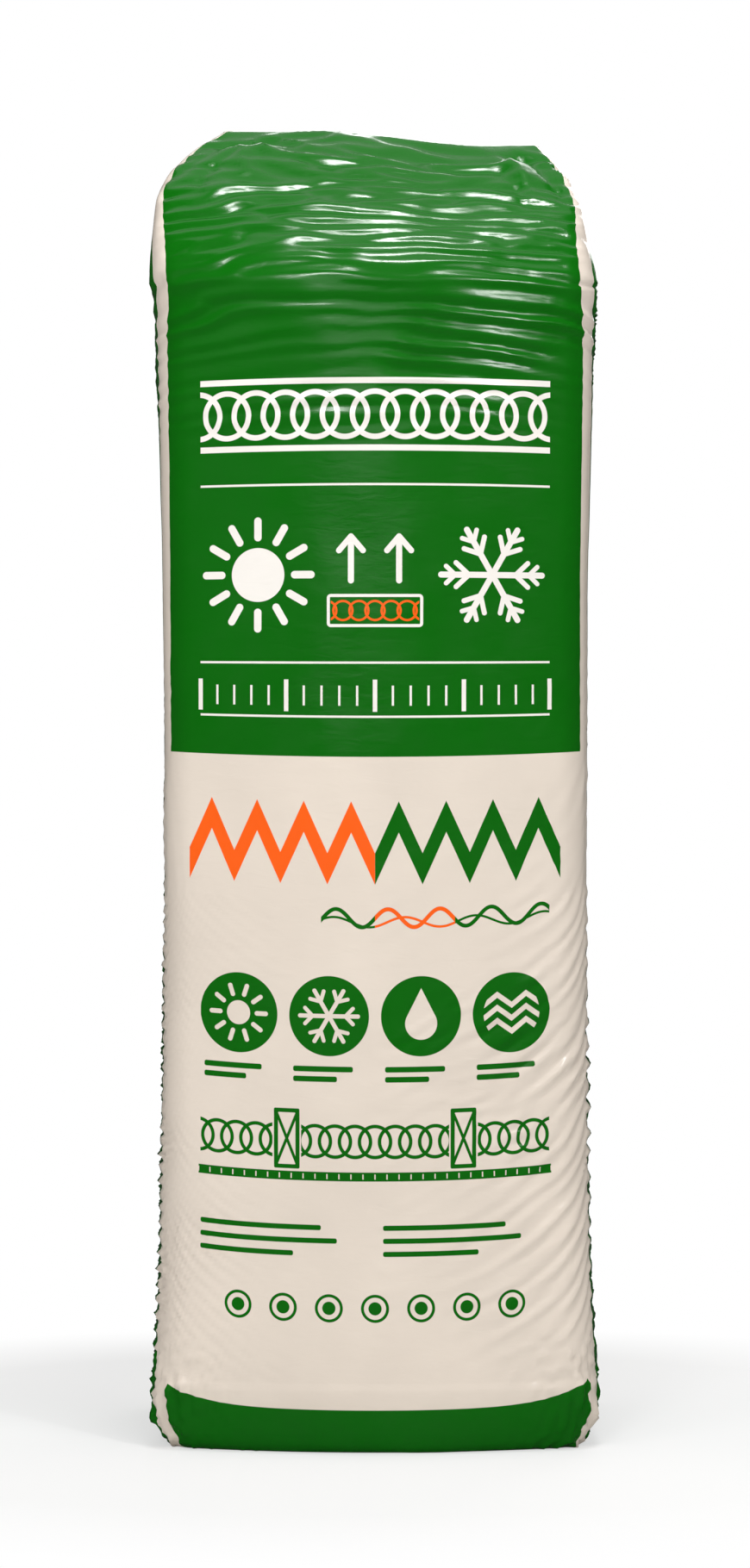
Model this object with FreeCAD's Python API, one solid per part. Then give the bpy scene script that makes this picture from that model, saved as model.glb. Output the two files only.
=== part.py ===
"""A bagged pack of compressed glass wool ceiling batts, standing on its end.

Seventeen batts stand side by side, squeezed front to back, in one sealed film bag. The batts push the
bag's front and back into shallow crowns. The pack is narrowest near its middle. The spare film above the
batts closes like a gable: its front and back lean together to a welded ridge, its sides tuck in between
them, and the weld's fin lies folded over the back.

Millimetres. +Z is up, +X is to the pack's right and -Y is its front. The origin is on the floor, under
the middle of the pack.
"""

import math
import os

import FreeCAD, Part

# ---- The batts ----
BATT_COUNT = 17
BATT_LENGTH = 1160.0        # stands upright in the pack
BATT_GAP = 0.4              # between two squeezed batts
STACK_CLEARANCE = 0.8       # between the batts and the inside of the film

# ---- The bag ----
FILM = 1.2                  # wall of the bag, thicker than real film so that it meshes cleanly
PACK_HEIGHT = 1352.0
WAIST_WIDTH = 430.0         # the narrowest place, one batt wide
END_WIDTH = 452.0           # the widest places, at the heel and the shoulder
END_DEPTH = 466.0           # over the crowns of the front and back
WAIST_DRAW_IN = 14.0        # how much less the depth is at the waist
FACE_CROWN = 30.0           # how far the middle of the front and back stands out past the corners
SIDE_CROWN = 2.5            # the same for the sides
CORNER_RADIUS = 46.0
FOOT_INSET = 24.0           # how far the underside draws in from the heel
HEEL_HEIGHT = 66.0
# Up the body from heel to shoulder: share of the way, share of the flare from waist to end.
BODY_PROFILE = ((0.0, 1.0), (0.09, 0.42), (0.25, 0.15), (0.48, 0.0), (0.72, 0.18), (0.88, 0.5), (1.0, 1.0))

# ---- The hood, the spare film above the batts ----
BATT_HEADROOM = 6.0         # from the top of the batts to where the hood starts to close
RIDGE_WIDTH = 330.0         # along the weld
RIDGE_DEPTH = 12.0
GUSSET_TUCK = 62.0          # how far the sides tuck in, half way up the hood
HOOD_STEPS = 6              # from the shoulder to the ridge
HOOD_SIDE_POWER = 4.2       # how late the side edges draw in: 1 is a straight slope
HOOD_FACE_POWER = 1.5       # the same for the front and back

# ---- The weld's fin, folded over the back of the ridge ----
FIN_LENGTH = 26.0
FIN_THICKNESS = 2 * FILM
FIN_SLOPE = 12.0            # degrees below level

BATT_INSET = FILM + STACK_CLEARANCE
SHOULDER_HEIGHT = BATT_INSET + BATT_LENGTH + BATT_HEADROOM
RIDGE_HEIGHT = PACK_HEIGHT - FIN_THICKNESS


class Section:
    """A level slice of the pack: four bowed sides that run into round corners.

    The width and depth are over the widest places. A crown is how far a side's middle stands out past
    the corners, and a side crown below zero bows the side in.
    """

    def __init__(self, height, width, depth, face_crown, side_crown, corner):
        self.height = height
        self.half_width = width / 2
        self.half_depth = depth / 2
        self.face_crown = face_crown
        self.side_crown = side_crown
        self.corner = corner

    def inside(self, inset, drop=0.0):
        """The same slice of a shell that is inset on all sides and lies drop lower."""
        return Section(self.height - drop, 2 * (self.half_width - inset), 2 * (self.half_depth - inset),
                       self.face_crown, self.side_crown, self.corner - inset)

    def wire(self):
        """Eight arcs, each tangent to the next, counter-clockwise from the front's left end."""
        side_middle = self.half_width + min(self.side_crown, 0)
        corner_centre = FreeCAD.Vector(side_middle - self.side_crown - self.corner,
                                       self.corner + self.face_crown - self.half_depth, 0)
        face_radius = bow_radius(self.face_crown, self.corner, corner_centre.x)
        side_radius = bow_radius(self.side_crown, self.corner, corner_centre.y)
        face_centre = FreeCAD.Vector(0, face_radius - self.half_depth, 0)
        side_centre = FreeCAD.Vector(side_middle - side_radius, 0, 0)
        to_face = (corner_centre - face_centre).normalize()
        to_side = (corner_centre - side_centre).normalize()
        face_end = face_centre + to_face * face_radius
        side_end = side_centre + to_side * abs(side_radius)
        outward = to_face + to_side * math.copysign(1, side_radius)
        corner_middle = corner_centre + outward.normalize() * self.corner
        front, right = FreeCAD.Vector(0, -self.half_depth, 0), FreeCAD.Vector(side_middle, 0, 0)

        def at(point, x_sign, y_sign):
            return FreeCAD.Vector(x_sign * point.x, y_sign * point.y, self.height)

        arcs = [
            (at(face_end, -1, 1), at(front, 1, 1), at(face_end, 1, 1)),
            (at(face_end, 1, 1), at(corner_middle, 1, 1), at(side_end, 1, 1)),
            (at(side_end, 1, 1), at(right, 1, 1), at(side_end, 1, -1)),
            (at(side_end, 1, -1), at(corner_middle, 1, -1), at(face_end, 1, -1)),
            (at(face_end, 1, -1), at(front, 1, -1), at(face_end, -1, -1)),
            (at(face_end, -1, -1), at(corner_middle, -1, -1), at(side_end, -1, -1)),
            (at(side_end, -1, -1), at(right, -1, 1), at(side_end, -1, 1)),
            (at(side_end, -1, 1), at(corner_middle, -1, 1), at(face_end, -1, 1)),
        ]
        return Part.Wire([Part.Arc(*points).toShape() for points in arcs])


def bow_radius(crown, corner, offset):
    """Radius of the arc tangent to two round corners, offset either way, that rises crown past them."""
    return (2 * corner * crown + crown ** 2 + offset ** 2) / (2 * crown)


def foot_sections():
    """The rounded heel, from the underside up to the widest place, as a quarter of an ellipse."""
    sections = []
    for degrees in (0.0, 30.0, 60.0, 90.0):
        turn = math.radians(degrees)
        inset = FOOT_INSET * (1 - math.sin(turn))
        height = HEEL_HEIGHT * (1 - math.cos(turn))
        sections.append(Section(height, END_WIDTH - 2 * inset, END_DEPTH - 2 * inset,
                                FACE_CROWN, SIDE_CROWN, CORNER_RADIUS - inset / 2))
    return sections


def body_sections():
    """From the heel, in to the waist and out again to the shoulder."""
    sections = []
    for way, flare in BODY_PROFILE:
        height = HEEL_HEIGHT + (SHOULDER_HEIGHT - HEEL_HEIGHT) * way
        sections.append(Section(height, WAIST_WIDTH + (END_WIDTH - WAIST_WIDTH) * flare,
                                END_DEPTH - WAIST_DRAW_IN * (1 - flare),
                                FACE_CROWN, SIDE_CROWN, CORNER_RADIUS))
    return sections


def hood_sections():
    """From the shoulder to the ridge: the crowns fade and the sides tuck in between front and back."""
    sections = []
    ridge_corner = RIDGE_DEPTH / 3
    for step in range(HOOD_STEPS + 1):
        share = step / HOOD_STEPS
        depth = END_DEPTH - (END_DEPTH - RIDGE_DEPTH) * share ** HOOD_FACE_POWER
        openness = depth / END_DEPTH
        sections.append(Section(
            SHOULDER_HEIGHT + (RIDGE_HEIGHT - SHOULDER_HEIGHT) * share,
            END_WIDTH - (END_WIDTH - RIDGE_WIDTH) * share ** HOOD_SIDE_POWER,
            depth,
            FACE_CROWN * openness,
            SIDE_CROWN * openness - GUSSET_TUCK * math.sin(math.pi * share),
            CORNER_RADIUS + (ridge_corner - CORNER_RADIUS) * share,
        ))
    return sections


def envelope(inset):
    """The pack's outside, or with an inset the space that far inside it, from three lofts."""
    foot = [section.inside(inset) for section in foot_sections()]
    foot[0].height = inset
    body = [section.inside(inset) for section in body_sections()]
    hood = [section.inside(inset, inset * step / HOOD_STEPS)
            for step, section in enumerate(hood_sections())]
    lofts = [Part.makeLoft([section.wire() for section in sections], True, False)
             for sections in (foot, body, hood)]
    return lofts[0].fuse(lofts[1:])


def seal_fin():
    """The flattened weld along the ridge, folded over to the back."""
    slope = math.radians(FIN_SLOPE)
    run, fall = FIN_LENGTH * math.cos(slope), FIN_LENGTH * math.sin(slope)
    start = -RIDGE_DEPTH / 2
    profile = [
        (start, RIDGE_HEIGHT), (start, PACK_HEIGHT), (0, PACK_HEIGHT),
        (run, PACK_HEIGHT - fall), (run, PACK_HEIGHT - fall - FIN_THICKNESS), (0, RIDGE_HEIGHT),
    ]
    left = RIDGE_DEPTH - RIDGE_WIDTH / 2
    points = [FreeCAD.Vector(left, y, z) for y, z in profile]
    face = Part.Face(Part.makePolygon(points + points[:1]))
    return face.extrude(FreeCAD.Vector(-2 * left, 0, 0))


def film_bag():
    """The sealed bag: one closed film with the fin of its weld."""
    shell = envelope(0).cut(envelope(FILM))
    return shell.fuse(seal_fin())


def batt_face(half_width, middle, sag):
    """One face of a squeezed batt in plan, left to right, bowed by its share of the crown."""
    left = FreeCAD.Vector(-half_width, middle + sag, 0)
    right = FreeCAD.Vector(half_width, middle + sag, 0)
    if abs(sag) < BATT_GAP:
        return Part.LineSegment(left, right).toShape()
    return Part.Arc(left, FreeCAD.Vector(0, middle, 0), right).toShape()


def batt(number, room):
    """Batt number 1 is the front one. Room is the space inside the film that the stack fills."""
    half_width = END_WIDTH / 2
    front, depth = BATT_INSET - END_DEPTH / 2, END_DEPTH - 2 * BATT_INSET
    edges = []
    for boundary, inward in ((number - 1, 1), (number, -1)):
        share = boundary / BATT_COUNT
        middle = front + depth * share + inward * BATT_GAP / 2
        edges.append(batt_face(half_width, middle, FACE_CROWN * (1 - 2 * share)))
    front_edge, back_edge = edges
    right = Part.LineSegment(front_edge.Vertexes[-1].Point, back_edge.Vertexes[-1].Point).toShape()
    left = Part.LineSegment(back_edge.Vertexes[0].Point, front_edge.Vertexes[0].Point).toShape()
    outline = Part.Wire(Part.sortEdges([front_edge, right, back_edge, left])[0])
    outline.translate(FreeCAD.Vector(0, 0, BATT_INSET))
    slab = Part.Face(outline).extrude(FreeCAD.Vector(0, 0, BATT_LENGTH))
    return slab.common(room)


def main():
    os.makedirs("parts", exist_ok=True)
    bag = film_bag()
    print("bag", bag.isValid(), len(bag.Solids), round(bag.Volume / 1e6, 3))
    bag.exportStep("parts/bag.step")
    room = envelope(BATT_INSET)
    for number in range(1, BATT_COUNT + 1):
        piece = batt(number, room)
        print("batt", number, piece.isValid(), len(piece.Solids), round(piece.Volume / 1e6, 3))
        piece.exportStep("parts/batt_%02d.step" % number)


main()
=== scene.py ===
"""Looks of a bagged pack of glass wool ceiling batts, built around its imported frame.

One printed film bag stands for the plain solid bag: it follows the same slices, with the ripples,
creases and gathers of real film, and its print is worked out along the film itself. The batts inside
keep their solids and get a glass wool finish.
"""

import logging
import math
from dataclasses import dataclass, field
from enum import Enum
from functools import reduce
from typing import NamedTuple, Union

import bpy
import numpy as np
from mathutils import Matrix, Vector


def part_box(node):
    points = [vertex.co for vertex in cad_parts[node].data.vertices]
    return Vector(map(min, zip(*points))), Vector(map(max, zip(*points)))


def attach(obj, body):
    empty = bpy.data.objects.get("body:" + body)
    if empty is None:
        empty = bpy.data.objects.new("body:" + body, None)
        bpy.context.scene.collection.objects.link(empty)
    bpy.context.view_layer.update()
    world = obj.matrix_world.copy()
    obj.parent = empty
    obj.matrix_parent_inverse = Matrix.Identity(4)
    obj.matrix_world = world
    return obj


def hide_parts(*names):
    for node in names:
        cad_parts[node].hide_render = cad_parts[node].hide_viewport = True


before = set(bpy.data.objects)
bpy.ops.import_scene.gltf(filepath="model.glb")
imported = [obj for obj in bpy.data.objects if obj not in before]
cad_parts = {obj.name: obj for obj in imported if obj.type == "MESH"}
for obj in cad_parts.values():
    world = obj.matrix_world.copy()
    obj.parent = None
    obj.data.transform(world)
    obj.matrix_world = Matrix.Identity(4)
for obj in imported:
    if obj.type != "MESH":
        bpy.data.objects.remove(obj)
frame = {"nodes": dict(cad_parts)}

LOG = logging.getLogger("pack")
MM = 0.001


class Panel(Enum):
    """The columns of film in one quarter of a slice, from the middle of a face to the middle of a side."""

    FRONT = (40, 16, 17)
    BACK = (20, 9, 15)


def smooth_step(value: np.ndarray, low: float, high: float) -> np.ndarray:
    """An S-shaped climb.

    Args:
        value: Where to read it.
        low: Below this it is 0.
        high: Above this it is 1.

    Returns:
        The climb at each value.
    """
    share = np.clip((value - low) / (high - low), 0.0, 1.0)
    return share * share * (3.0 - 2.0 * share)


def soft_noise(across: np.ndarray, along: np.ndarray, seed: int, cells: int) -> np.ndarray:
    """Smooth random hills that repeat across after a whole number of cells.

    Args:
        across: Position in cells, in the direction that repeats.
        along: Position in cells, in the other direction.
        seed: Picks the pattern.
        cells: How many cells there are before it repeats.

    Returns:
        Heights from -1 to 1.
    """
    table = np.random.default_rng(seed).uniform(-1.0, 1.0, (257, cells))
    left, low = np.floor(across).astype(int), np.floor(along).astype(int)
    fx, fy = across - left, along - low
    fx, fy = fx ** 3 * (fx * (6 * fx - 15) + 10), fy ** 3 * (fy * (6 * fy - 15) + 10)

    def corner(right: int, up: int) -> np.ndarray:
        """Heights at one corner of each cell."""
        return table[(low + up) % 257, (left + right) % cells]

    bottom = corner(0, 0) * (1 - fx) + corner(1, 0) * fx
    top = corner(0, 1) * (1 - fx) + corner(1, 1) * fx
    return bottom * (1 - fy) + top * fy


@dataclass
class Slices:
    """A stack of level slices of the pack, one entry of each array to a slice, in metres."""

    half_width: np.ndarray
    half_depth: np.ndarray
    face_crown: np.ndarray
    side_crown: np.ndarray
    corner: np.ndarray

    def quarter(self, panel: Panel) -> tuple[np.ndarray, np.ndarray]:
        """The outline of one quarter: part of a face, a round corner and part of a side, all tangent.

        Args:
            panel: How many columns each of the three gets.

        Returns:
            How far out each point is sideways and towards the face, a row to a slice.
        """
        face, corner, side = panel.value
        side_middle = self.half_width + np.minimum(self.side_crown, 0)
        centre_x = side_middle - self.side_crown - self.corner
        centre_y = self.half_depth - self.face_crown - self.corner
        face_radius = self._bow_radius(self.face_crown, centre_x)
        side_radius = self._bow_radius(self.side_crown, centre_y)
        bow = np.sign(side_radius)
        side_centre = side_middle - side_radius
        face_turn = np.arctan2(centre_x, centre_y + face_radius - self.half_depth)
        corner_turn = np.arctan2(bow * (centre_x - side_centre), bow * centre_y)
        side_turn = np.arctan2(centre_y, np.abs(centre_x - side_centre))

        def spread(start: np.ndarray, stop: np.ndarray, count: int) -> np.ndarray:
            """Count angles from start up to, but not including, stop."""
            return start[:, None] + (stop - start)[:, None] * np.arange(count)[None, :] / count

        turn = spread(face_turn * 0, face_turn, face)
        round_turn = spread(face_turn, corner_turn, corner)
        last_turn = np.concatenate([spread(side_turn, side_turn * 0, side), side_turn[:, None] * 0], axis=1)
        out_x = np.concatenate([
            face_radius[:, None] * np.sin(turn),
            centre_x[:, None] + self.corner[:, None] * np.sin(round_turn),
            side_centre[:, None] + side_radius[:, None] * np.cos(last_turn),
        ], axis=1)
        out_y = np.concatenate([
            (self.half_depth - face_radius)[:, None] + face_radius[:, None] * np.cos(turn),
            centre_y[:, None] + self.corner[:, None] * np.cos(round_turn),
            np.abs(side_radius)[:, None] * np.sin(last_turn),
        ], axis=1)
        return out_x, out_y

    def _bow_radius(self, crown: np.ndarray, offset: np.ndarray) -> np.ndarray:
        """Radius of an arc tangent to two round corners, offset either way, that rises crown past them."""
        return (2 * self.corner * crown + crown ** 2 + offset ** 2) / (2 * crown)


class Level(NamedTuple):
    """One row of the film: the size and place of its slice, in metres."""

    half_width: float
    half_depth: float
    face_crown: float
    side_crown: float
    corner: float
    height: float
    way: float
    back: float = 0.0
    shift: float = 0.0


@dataclass
class PackForm:
    """The smooth form of the filled bag: its heel, body, hood, ridge and fin, in metres.

    A profile gives shares of the way up with the share of the flare there. A hood outline gives shares of
    the way up with how far out that side reaches, in millimetres.
    """

    low: Vector
    high: Vector
    waist_width: float = 0.430
    waist_draw_in: float = 0.014
    face_crown: float = 0.030
    side_crown: float = 0.0025
    corner: float = 0.046
    foot_inset: float = 0.024
    heel_height: float = 0.066
    shoulder: float = 1.168
    ridge_width: float = 0.315
    ridge_depth: float = 0.012
    ridge_dip: float = 0.015
    gusset_tuck: float = 0.058
    face_power: float = 1.5
    fin_length: float = 0.026
    film: float = 0.0004
    heel_way: float = 0.03
    underside_corner: float = 0.034
    hood_stretch: float = 0.035
    dip_reach: tuple = (-0.06, 0.11)
    underside_rows: int = 14
    heel_rows: int = 21
    hood_rows: int = 76
    fin_rows: int = 8
    profile: tuple = ((0.0, 1.0), (0.09, 0.42), (0.25, 0.15), (0.48, 0.0), (0.72, 0.18), (0.88, 0.5),
                      (1.0, 1.0))
    hood_left: tuple = ((0.0, 225), (0.15, 223), (0.28, 222), (0.57, 221), (0.67, 214), (0.77, 203),
                        (0.87, 186), (0.92, 175), (1.0, 152))
    hood_right: tuple = ((0.0, 223), (0.15, 217), (0.28, 213), (0.37, 211), (0.47, 210), (0.57, 208),
                         (0.67, 203), (0.77, 195), (0.87, 185), (0.92, 180), (1.0, 166))

    def __post_init__(self) -> None:
        """Works out the sizes that the frame gives."""
        self.end_width = self.high.x - self.low.x
        self.end_depth = self.high.y - self.low.y
        self.ridge_height = self.high.z - 0.0024
        self.levels = self._levels()

    def _levels(self) -> dict[str, np.ndarray]:
        """Every row of the film, from the weld under the pack to the end of the fin.

        Returns:
            The values of all rows, by name.
        """
        rows = self._underside() + self._heel() + self._body()
        rows += self._hood(rows[-1])
        rows += self._fin(rows[-1])
        return dict(zip(Level._fields, np.array(rows).T))

    def _underside(self) -> list[Level]:
        """Rows that spread from the weld under the pack to its heel.

        Returns:
            The rows.
        """
        rows: list[Level] = []
        foot_width, foot_depth = self.end_width / 2 - self.foot_inset, self.end_depth / 2 - self.foot_inset
        for share in np.linspace(0.0, 1.0, self.underside_rows + 1)[:-1]:
            reach = foot_depth * (0.004 + 0.996 * share)
            openness = reach / foot_depth
            corner = self.underside_corner * min(1.0, 0.35 + openness) * openness
            rows.append(Level(foot_width - 0.01 * (1 - share), reach, self.face_crown * openness,
                              self.side_crown * openness, corner, 0.0012 - 0.0008 * share,
                              reach - foot_depth - self.heel_way))
        return rows

    def _heel(self) -> list[Level]:
        """Rows around the pack's lower edge.

        Returns:
            The rows.
        """
        rows: list[Level] = []
        for turn in np.linspace(0.0, math.pi / 2, self.heel_rows):
            inset = self.foot_inset * (1 - math.sin(turn))
            height = self.film + (self.heel_height - self.film) * (1 - math.cos(turn))
            rows.append(Level(self.end_width / 2 - inset, self.end_depth / 2 - inset, self.face_crown,
                              self.side_crown, self.corner - inset / 2, height,
                              height - self.heel_way * (1 - math.sin(turn)) ** 2))
        return rows

    def _body(self) -> list[Level]:
        """Rows up the filled body, which draws in at the waist.

        Returns:
            The rows.
        """
        rows: list[Level] = []
        for height in self._body_heights():
            flare = self._flare((height - self.heel_height) / (self.shoulder - self.heel_height))
            rows.append(Level((self.waist_width + (self.end_width - self.waist_width) * flare) / 2,
                              (self.end_depth - self.waist_draw_in * (1 - flare)) / 2,
                              self.face_crown, self.side_crown, self.corner, height, height))
        return rows

    def _hood(self, last: Level) -> list[Level]:
        """Rows up the hood, which closes to a ridge while its sides tuck in.

        Args:
            last: The row below.

        Returns:
            The rows.
        """
        rows: list[Level] = []
        way = self.shoulder
        for share in np.linspace(0.0, 1.0, self.hood_rows + 1)[1:]:
            depth = self.end_depth - (self.end_depth - self.ridge_depth) * share ** self.face_power
            openness = depth / self.end_depth
            left, right = self._reach(self.hood_left, share), self._reach(self.hood_right, share)
            height = self.shoulder + (self.ridge_height - self.shoulder) * share
            way += math.hypot(height - last.height, depth / 2 - last.half_depth)
            tuck = self.gusset_tuck * math.sin(math.pi * share) ** 1.5
            last = Level((left + right) / 2, depth / 2, self.face_crown * openness,
                         self.side_crown * openness - tuck,
                         self.corner + (self.ridge_depth / 3 - self.corner) * share, height, way,
                         0.0, (right - left) / 2)
            rows.append(last)
        return rows

    def _fin(self, last: Level) -> list[Level]:
        """Rows of the welded fin, which lies folded over the back.

        Args:
            last: The row below.

        Returns:
            The rows.
        """
        rows: list[Level] = []
        way = last.way
        for share in np.linspace(0.0, 1.0, self.fin_rows + 1)[1:]:
            turn = min(1.0, share * 3.0) * math.radians(100)
            way += self.fin_length / self.fin_rows
            thickness = max(self.ridge_depth / 2 * (1 - 3 * share), self.film * 2.5)
            run = self.fin_length * share
            height = self.ridge_height + 0.0016 * math.sin(min(turn, math.pi / 2)) - 0.22 * run * share
            rows.append(Level(self.ridge_width / 2 - 0.004 * min(1.0, 4 * share), thickness,
                              0.15 * thickness, 0.05 * thickness, 0.3 * thickness, height, way,
                              run, last.shift))
        return rows

    def _body_heights(self) -> np.ndarray:
        """Row heights up the body: close where the film ripples, wider apart where it is smooth.

        Returns:
            The heights, from the heel to the shoulder.
        """
        bands = ((self.heel_height, 0.56, 0.0034), (0.56, 1.0, 0.0078), (1.0, self.shoulder, 0.0034))
        heights = [np.linspace(low, high, round((high - low) / pitch) + 1)[1:] for low, high, pitch in bands]
        return np.concatenate(heights)

    def _reach(self, outline: tuple, share: float) -> float:
        """How far one side of the hood stands out.

        Args:
            outline: Shares of the way up the hood, each with its reach in millimetres.
            share: Where to read it.

        Returns:
            The reach, rounded off a little, in metres.
        """
        shares, reaches = np.array(outline).T
        near = np.clip(share + np.linspace(-0.05, 0.05, 11), 0.0, 1.0)
        return float(np.interp(near, shares, reaches).mean()) * MM

    def _flare(self, way: float) -> float:
        """How much of the flare from waist to end shows.

        Args:
            way: Share of the way up the body.

        Returns:
            From 0 at the waist to 1 at the ends.
        """
        ways, flares = np.array(self.profile).T
        near = np.clip(way + np.linspace(-0.06, 0.06, 13), 0.0, 1.0)
        return float(np.interp(near, ways, flares).mean())

    def surface(self) -> tuple[np.ndarray, np.ndarray, np.ndarray]:
        """The smooth film as a grid of points that closes on itself around the pack.

        Returns:
            Points, rows by columns; each column's distance around the film from the front's middle;
            and each row's distance up the film.
        """
        rows = self.levels
        slices = Slices(rows["half_width"], rows["half_depth"], rows["face_crown"], rows["side_crown"],
                        rows["corner"])
        front_x, front_y = slices.quarter(Panel.FRONT)
        back_x, back_y = slices.quarter(Panel.BACK)
        out_x = np.concatenate([front_x, back_x[:, -2::-1], -back_x[:, 1:], -front_x[:, -2:0:-1]], axis=1)
        out_y = np.concatenate([-front_y, back_y[:, -2::-1], back_y[:, 1:], -front_y[:, -2:0:-1]], axis=1)
        points = np.stack([out_x, out_y + rows["back"][:, None], out_x * 0 + rows["height"][:, None]], axis=2)
        points[:, :, 0] += rows["shift"][:, None]
        lean = smooth_step(rows["height"], self.shoulder, self.ridge_height)[:, None]
        points[:, :, 2] -= self.ridge_dip * lean * smooth_step(points[:, :, 0], *self.dip_reach)
        middle = len(rows["height"]) // 2
        steps = np.linalg.norm(np.diff(points[middle], axis=0, append=points[middle, :1]), axis=1)
        around = np.concatenate([[0.0], np.cumsum(steps)])
        girth = around[-1]
        place = around[:-1].copy()
        place[place > girth / 2] -= girth
        self.girth = float(girth)
        return points, place, rows["way"]

    def printed_place(self, points: np.ndarray) -> np.ndarray:
        """Distance around the film in each row, from the front's middle, for the print.

        Each row is measured from the middle of the front and of the back, so the print keeps its width where
        the pack is wider. In the hood and under the pack, where the film is gathered, the nearest row of the
        body counts.

        Args:
            points: The smooth film's points.

        Returns:
            Distances, rows by columns.
        """
        steps = np.linalg.norm(np.roll(points, -1, axis=1) - points, axis=2)
        far = np.concatenate([steps[:, :1] * 0, np.cumsum(steps, axis=1)], axis=1)
        side = sum(Panel.FRONT.value)
        back = side + sum(Panel.BACK.value)
        last = points.shape[1]
        half = self.girth / 2
        place = np.empty(points.shape[:2])
        place[:, :side + 1] = far[:, :side + 1]
        place[:, side + 1:back + 1] = half - (far[:, back:back + 1] - far[:, side + 1:back + 1])
        place[:, back + 1:last - side] = far[:, back + 1:last - side] - far[:, back:back + 1] - half
        place[:, last - side:] = far[:, last - side:last] - far[:, last:]
        height = self.levels["height"]
        body = np.flatnonzero((height > self.heel_height) & (height <= self.shoulder))
        place[:body[0]] = place[body[0]]
        place[body[-1] + 1:] = place[body[-1]]
        return place * (1 + self.hood_stretch * smooth_step(height, 1.11, 1.22))[:, None]


@dataclass
class Crease:
    """One fold line in the film: a sharp crest that fades at both ends, in metres along the film."""

    start: tuple[float, float]
    end: tuple[float, float]
    height: float
    width: float
    bow: float = 0.0

    def lift(self, around: np.ndarray, up: np.ndarray, girth: float) -> np.ndarray:
        """How far the crease lifts the film.

        Args:
            around: Distance around the film at each point.
            up: Distance up the film at each point.
            girth: The distance all the way around.

        Returns:
            The lift at each point.
        """
        run, rise = self.end[0] - self.start[0], self.end[1] - self.start[1]
        length = math.hypot(run, rise)
        dx = (around - self.start[0] + girth / 2) % girth - girth / 2
        dy = up - self.start[1]
        along = (dx * run + dy * rise) / length ** 2
        across = (dy * run - dx * rise) / length - self.bow * 4 * along * (1 - along)
        ends = smooth_step(along, -0.05, 0.30) * (1 - smooth_step(along, 0.70, 1.05))
        crest = np.sqrt(across ** 2 + (0.12 * self.width) ** 2) / self.width
        return self.height * ends * np.exp(-crest * 1.6)


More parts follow.
